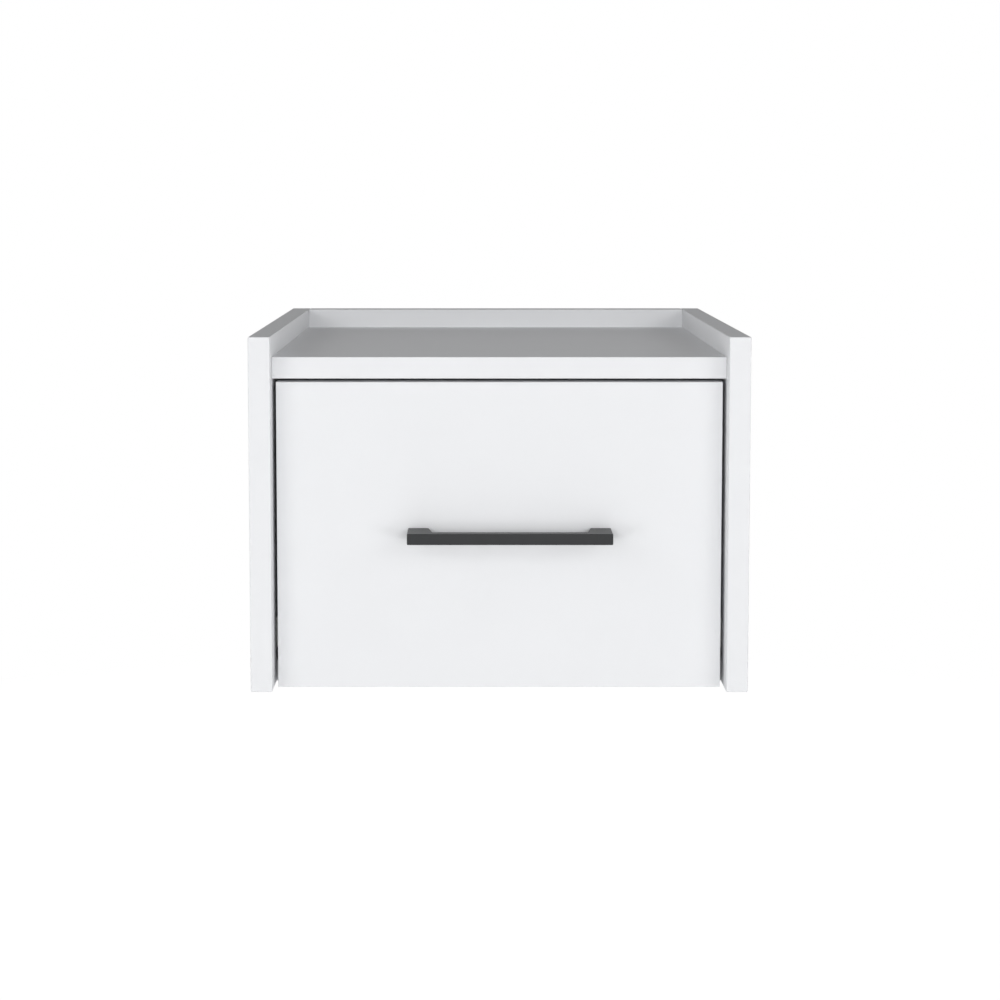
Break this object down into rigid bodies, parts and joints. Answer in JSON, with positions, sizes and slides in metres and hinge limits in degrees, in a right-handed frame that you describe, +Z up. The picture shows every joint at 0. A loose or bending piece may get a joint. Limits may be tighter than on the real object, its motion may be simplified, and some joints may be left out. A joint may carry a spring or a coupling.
{
  "type": "floating nightstand",
  "caption": "White wall-hung bedside cabinet with a low gallery round its top, an inset drawer on roller runners and a slim dark bar handle.",
  "frame": {"origin": "middle of the rear face, which lies against the wall", "axes": "+X to the right as seen by someone facing the drawer, +Y into the wall, +Z up; the drawer opens towards -Y"},
  "size_m": [0.346, 0.3091, 0.248],
  "materials": {
    "white_melamine": "white melamine on particle board, fine matt texture, white edge band",
    "white_hardboard": "painted white on the upper face",
    "graphite_metal": "matt graphite, powder coated",
    "runner_enamel": "white epoxy-coated steel",
    "roller_nylon": "natural nylon",
    "zinc_hardware": "bright zinc plated"
  },
  "bodies": {
    "cabinet": {"side_panel_left": "white_melamine", "side_panel_right": "white_melamine", "top_board": "white_melamine", "bottom_board": "white_melamine", "back_panel": "white_melamine", "top_cam_left_front": "zinc_hardware", "top_cam_left_rear": "zinc_hardware", "top_cam_right_front": "zinc_hardware", "top_cam_right_rear": "zinc_hardware", "top_cam_bolt_left_front": "zinc_hardware", "top_cam_bolt_left_rear": "zinc_hardware", "top_cam_bolt_right_front": "zinc_hardware", "top_cam_bolt_right_rear": "zinc_hardware", "bottom_cam_left": "zinc_hardware", "bottom_cam_right": "zinc_hardware", "bottom_cam_bolt_left": "zinc_hardware", "bottom_cam_bolt_right": "zinc_hardware", "back_screw_left_lower": "zinc_hardware", "back_screw_left_upper": "zinc_hardware", "back_screw_right_lower": "zinc_hardware", "back_screw_right_upper": "zinc_hardware", "hanger_plate_left": "zinc_hardware", "hanger_plate_right": "zinc_hardware", "hanger_screw_left_lower": "zinc_hardware", "hanger_screw_left_upper": "zinc_hardware", "hanger_screw_right_lower": "zinc_hardware", "hanger_screw_right_upper": "zinc_hardware", "cabinet_runner_left": "runner_enamel", "cabinet_runner_right": "runner_enamel", "cabinet_runner_screw_left_front": "zinc_hardware", "cabinet_runner_screw_left_rear": "zinc_hardware", "cabinet_runner_screw_right_front": "zinc_hardware", "cabinet_runner_screw_right_rear": "zinc_hardware"},
    "drawer": {"drawer_front": "white_melamine", "drawer_side_left": "white_melamine", "drawer_side_right": "white_melamine", "drawer_back": "white_melamine", "drawer_bottom": "white_hardboard", "handle": "graphite_metal", "handle_screw_left": "zinc_hardware", "handle_screw_right": "zinc_hardware", "drawer_cam_left": "zinc_hardware", "drawer_cam_right": "zinc_hardware", "drawer_cam_bolt_left": "zinc_hardware", "drawer_cam_bolt_right": "zinc_hardware", "drawer_corner_screw_left_lower": "zinc_hardware", "drawer_corner_screw_left_upper": "zinc_hardware", "drawer_corner_screw_right_lower": "zinc_hardware", "drawer_corner_screw_right_upper": "zinc_hardware", "drawer_runner_left": "runner_enamel", "drawer_runner_right": "runner_enamel", "drawer_runner_screw_left_front": "zinc_hardware", "drawer_runner_screw_left_rear": "zinc_hardware", "drawer_runner_screw_right_front": "zinc_hardware", "drawer_runner_screw_right_rear": "zinc_hardware"},
    "front_roller_left": {"cabinet_roller_left": "roller_nylon"},
    "front_roller_right": {"cabinet_roller_right": "roller_nylon"},
    "rear_roller_left": {"drawer_roller_left": "roller_nylon"},
    "rear_roller_right": {"drawer_roller_right": "roller_nylon"}
  },
  "joints": [
    {"name": "drawer_slide", "type": "slide", "parent": "cabinet", "child": "drawer", "axis": [0, -1, 0], "range_m": [0, 0.19]},
    {"name": "front_roller_left_turn", "type": "hinge", "parent": "cabinet", "child": "front_roller_left", "pos_m": [-0.15145, -0.2607, -0.0924], "axis": [1, 0, 0], "continuous": true},
    {"name": "front_roller_right_turn", "type": "hinge", "parent": "cabinet", "child": "front_roller_right", "pos_m": [0.15145, -0.2607, -0.0924], "axis": [1, 0, 0], "continuous": true},
    {"name": "rear_roller_left_turn", "type": "hinge", "parent": "drawer", "child": "rear_roller_left", "pos_m": [-0.1503, -0.0325, -0.0887], "axis": [1, 0, 0], "continuous": true},
    {"name": "rear_roller_right_turn", "type": "hinge", "parent": "drawer", "child": "rear_roller_right", "pos_m": [0.1503, -0.0325, -0.0887], "axis": [1, 0, 0], "continuous": true}
  ],
  "couplings": [
    {"joint": "front_roller_left_turn", "follows": "drawer_slide", "rad_per_m": 111.11},
    {"joint": "front_roller_right_turn", "follows": "drawer_slide", "rad_per_m": 111.11},
    {"joint": "rear_roller_left_turn", "follows": "drawer_slide", "rad_per_m": 111.11},
    {"joint": "rear_roller_right_turn", "follows": "drawer_slide", "rad_per_m": 111.11}
  ]
}
